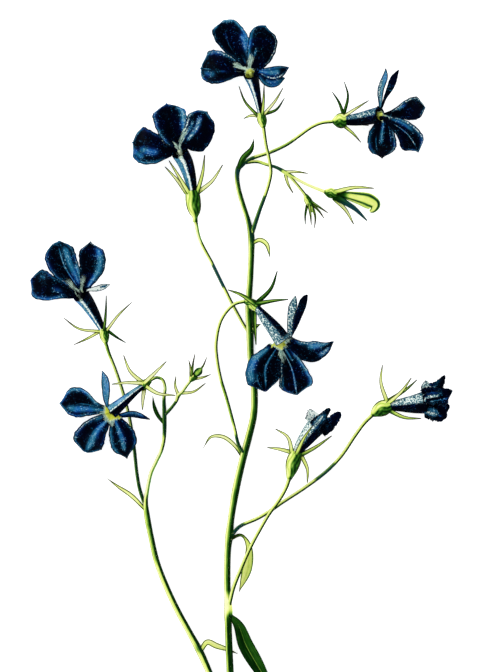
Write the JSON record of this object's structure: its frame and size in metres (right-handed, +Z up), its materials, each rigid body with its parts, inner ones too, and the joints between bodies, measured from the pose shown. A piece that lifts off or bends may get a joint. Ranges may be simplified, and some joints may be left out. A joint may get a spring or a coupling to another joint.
{
  "type": "cut flower sprig",
  "caption": "Cut sprig of blue lobelia lying flat: forked green stem with open, closing and budded blue flowers on slender stalks, narrow sepals and small leaves.",
  "frame": {"origin": "middle of the sprig's outline seen from above, on the surface that it lies on", "axes": "+Z up off the surface, +Y from the cut end of the stem towards the top flower, +X towards the side of the closing flowers"},
  "size_m": [0.1062, 0.1808, 0.0103],
  "materials": {
    "stem": "smooth satin stem",
    "leaf": "soft matt leaf",
    "pale_leaf": "soft matt leaf",
    "calyx": "ribbed satin calyx",
    "petal": "velvety petal",
    "bud": "satin closed bud",
    "anther": "satin anther tube"
  },
  "bodies": {
    "root": {"main_stem": "stem", "left_stem": "stem", "stalk_top": "stem", "stalk_upper_left": "stem", "stalk_upper_right": "stem", "bud_stalk": "stem", "stalk_left": "stem", "stalk_centre": "stem", "stalk_right": "stem", "stalk_inner": "stem", "round_bud_stalk": "stem", "hooked_leaf": "leaf", "upper_leaf": "leaf", "arched_leaf": "pale_leaf", "stub_leaf": "leaf", "lance_leaf": "pale_leaf", "large_leaf": "leaf", "crossing_leaf": "pale_leaf", "left_bract": "pale_leaf", "dark_leaf": "leaf", "calyx_top": "calyx", "corolla_top": "petal", "anthers_top": "anther", "calyx_upper_left": "calyx", "corolla_upper_left": "petal", "anthers_upper_left": "anther", "calyx_upper_right": "calyx", "corolla_upper_right": "petal", "anthers_upper_right": "anther", "calyx_left": "calyx", "corolla_left": "petal", "anthers_left": "anther", "calyx_lower_left": "calyx", "corolla_lower_left": "petal", "anthers_lower_left": "anther", "calyx_centre": "calyx", "corolla_centre": "petal", "anthers_centre": "anther", "calyx_right": "calyx", "corolla_right": "petal", "calyx_inner": "calyx", "corolla_inner": "petal", "calyx_green_bud": "calyx", "green_bud": "bud", "calyx_small_bud": "calyx", "small_bud": "bud", "calyx_round_bud": "calyx", "round_bud": "bud"}
  },
  "joints": []
}
